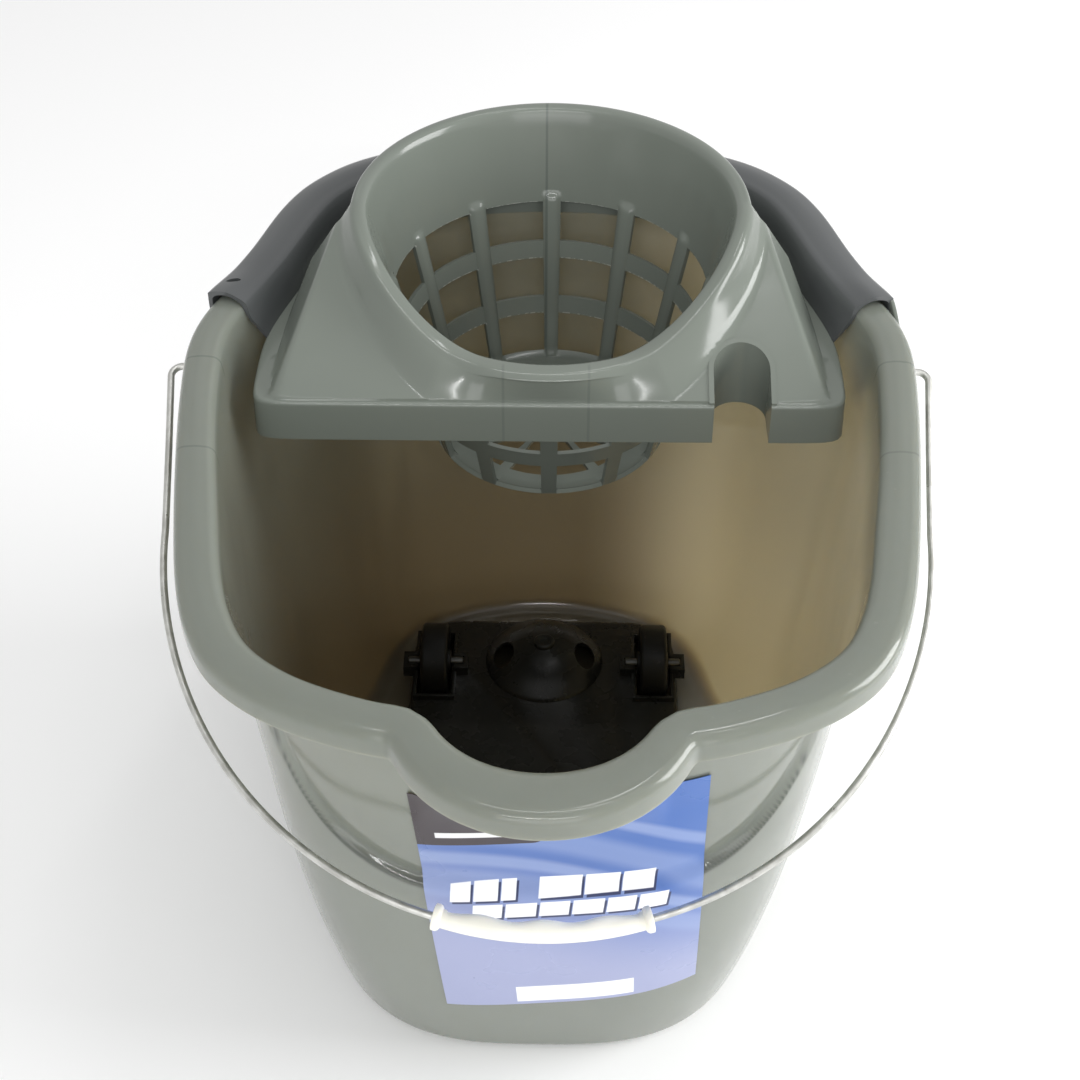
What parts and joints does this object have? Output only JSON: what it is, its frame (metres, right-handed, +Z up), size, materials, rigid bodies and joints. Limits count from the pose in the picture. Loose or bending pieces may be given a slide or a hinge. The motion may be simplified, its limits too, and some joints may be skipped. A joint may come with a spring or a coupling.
{
  "type": "mop bucket with cone wringer",
  "caption": "Oval plastic mop bucket with pouring spout, lift-out perforated cone wringer, swinging wire bail with sleeve grip, and a stowed drop-in wheel base.",
  "frame": {"origin": "on the floor under the middle of the object's footprint", "axes": "+X to the right seen from the spout side, +Y from the spout to the wringer at the back, +Z up"},
  "size_m": [0.343, 0.4449, 0.3065],
  "materials": {
    "bucket_plastic": "semi-gloss grey-green moulded polypropylene",
    "wringer_plastic": "semi-gloss grey-green moulded polypropylene",
    "galvanised_wire": "drawn galvanised wire",
    "grip_plastic": "cream moulded sleeve",
    "label_film": "printed plastic film, plain shapes only",
    "base_plastic": "semi-gloss black moulded plastic",
    "wheel_plastic": "satin black moulded plastic",
    "axle_steel": "dull dark drawn steel"
  },
  "bodies": {
    "bucket_body": {"bucket": "bucket_plastic", "front_label": "label_film"},
    "wringer_body": {"wringer": "wringer_plastic"},
    "bail": {"bail_wire": "galvanised_wire", "bail_grip": "grip_plastic"},
    "wheel_base_body": {"wheel_base": "base_plastic", "axle_rear_left": "axle_steel", "axle_rear_right": "axle_steel", "axle_front_left": "axle_steel", "axle_front_right": "axle_steel"},
    "rear_left_wheel": {"wheel_rear_left": "wheel_plastic"},
    "rear_right_wheel": {"wheel_rear_right": "wheel_plastic"},
    "front_left_wheel": {"wheel_front_left": "wheel_plastic"},
    "front_right_wheel": {"wheel_front_right": "wheel_plastic"}
  },
  "joints": [
    {"name": "bail_swing", "type": "hinge", "parent": "bucket_body", "child": "bail", "pos_m": [0, 0.0535, 0.255], "axis": [-1, 0, 0], "range_deg": [0, 255]},
    {"name": "wringer_lift", "type": "slide", "parent": "bucket_body", "child": "wringer_body", "axis": [0, 0, 1], "range_m": [0, 0.18]},
    {"name": "wheel_base_lift", "type": "slide", "parent": "bucket_body", "child": "wheel_base_body", "axis": [0, 0, 1], "range_m": [0, 0.09]},
    {"name": "rear_left_wheel_spin", "type": "hinge", "parent": "wheel_base_body", "child": "rear_left_wheel", "pos_m": [-0.0615, 0.092, 0.0266], "axis": [1, 0, 0], "continuous": true},
    {"name": "rear_right_wheel_spin", "type": "hinge", "parent": "wheel_base_body", "child": "rear_right_wheel", "pos_m": [0.0565, 0.092, 0.0266], "axis": [1, 0, 0], "continuous": true},
    {"name": "front_left_wheel_spin", "type": "hinge", "parent": "wheel_base_body", "child": "front_left_wheel", "pos_m": [-0.0615, -0.068, 0.0266], "axis": [1, 0, 0], "continuous": true},
    {"name": "front_right_wheel_spin", "type": "hinge", "parent": "wheel_base_body", "child": "front_right_wheel", "pos_m": [0.0565, -0.068, 0.0266], "axis": [1, 0, 0], "continuous": true}
  ]
}
